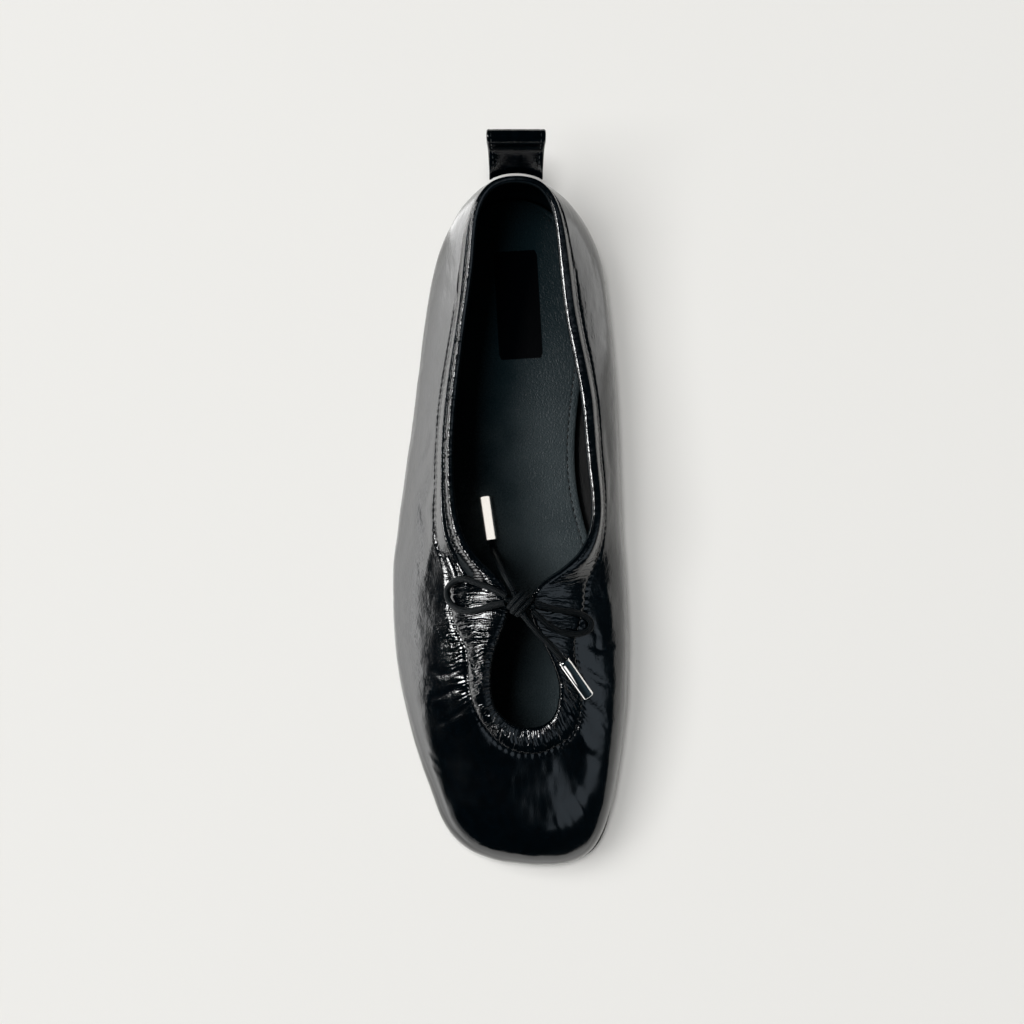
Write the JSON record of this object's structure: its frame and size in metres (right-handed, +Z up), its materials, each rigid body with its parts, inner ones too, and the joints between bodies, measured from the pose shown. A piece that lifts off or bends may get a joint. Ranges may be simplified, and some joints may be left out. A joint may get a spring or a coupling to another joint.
{
  "type": "ballet flat",
  "caption": "Right-foot ballet flat with a thin sole, low heel, heel pull tab, keyhole cut-out and a drawstring topline tied in a small bow with metal cord ends.",
  "frame": {"origin": "on the floor under the middle of the heel block", "axes": "+Y towards the back of the heel, -Y towards the toe, +X towards the inner (big-toe) side, +Z up"},
  "size_m": [0.0858, 0.2605, 0.0663],
  "materials": {
    "patent_leather": "glossy crinkled patent",
    "insole_leather": "soft grained, semi-matte",
    "sole_rubber": "satin",
    "black_cord": "satin woven cord",
    "polished_metal": "polished"
  },
  "bodies": {
    "root": {"upper": "patent_leather", "outsole": "sole_rubber", "insole": "insole_leather", "heel_block": "sole_rubber", "pull_tab": "patent_leather", "bow_knot": "black_cord", "bow_loop_lateral": "black_cord", "bow_loop_medial": "black_cord", "bow_tail_upper": "black_cord", "bow_tail_lower": "black_cord", "aglet_upper": "polished_metal", "aglet_lower": "polished_metal"}
  },
  "joints": []
}
